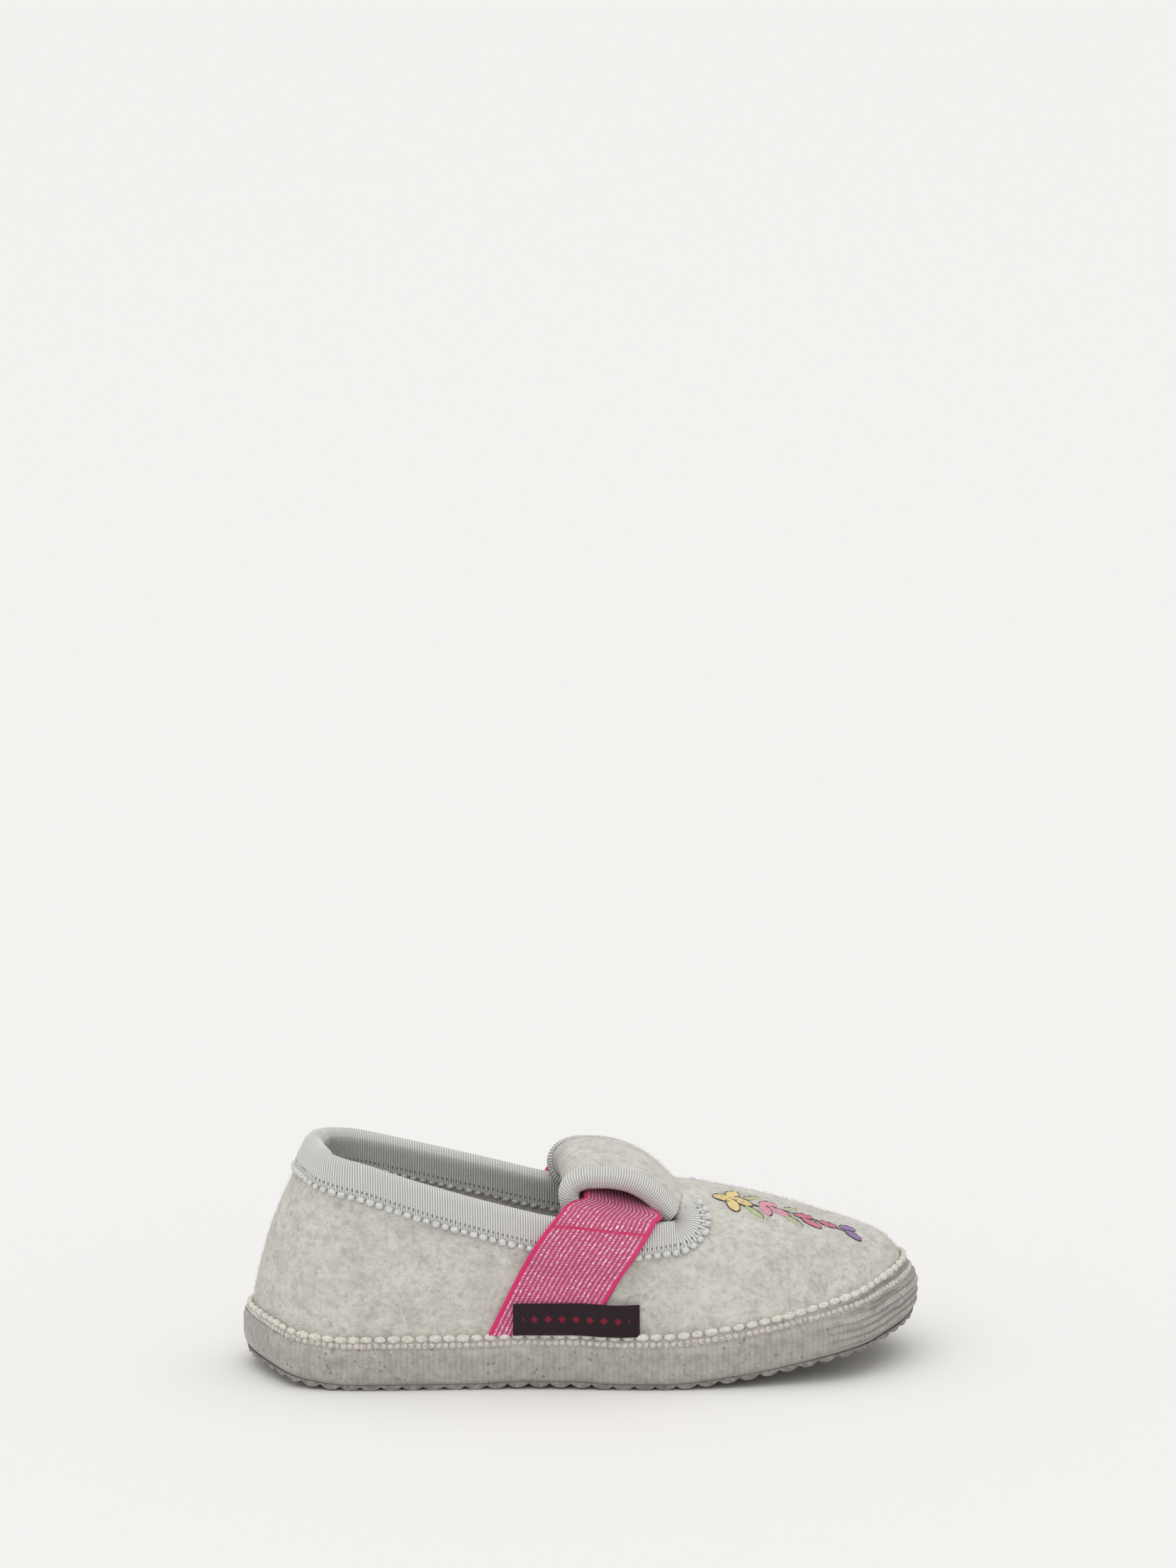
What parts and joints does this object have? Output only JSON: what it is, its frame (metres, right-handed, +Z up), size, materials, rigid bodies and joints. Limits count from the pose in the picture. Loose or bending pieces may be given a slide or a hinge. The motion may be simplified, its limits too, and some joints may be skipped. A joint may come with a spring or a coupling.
{
  "type": "slipper",
  "caption": "Child's felt hut slipper with a bound collar, a tongue folded over an elastic strap, a band round the sole's side and a lugged rubber sole.",
  "frame": {"origin": "centre of the bounding box's base, on the plane that the sole stands on", "axes": "+X to the toe, +Y to the medial side, +Z up"},
  "size_m": [0.1698, 0.07, 0.0575],
  "materials": {
    "felt_grey": "boiled wool felt, matt, warm light grey",
    "tape_grey": "ribbed knit tape, matt, pale grey",
    "foxing_grey": "dipped knit band, satin, grey",
    "sole_grey": "rubber, satin, grey",
    "strap_pink": "elastic with a metallic thread, pink",
    "label_black": "woven, matt, near black, bare"
  },
  "bodies": {
    "root": {"collar_binding": "tape_grey", "foxing": "foxing_grey", "insole": "felt_grey", "label": "label_black", "loop_binding_lateral": "tape_grey", "loop_binding_medial": "tape_grey", "outsole": "sole_grey", "strap": "strap_pink", "upper": "felt_grey"}
  },
  "joints": []
}
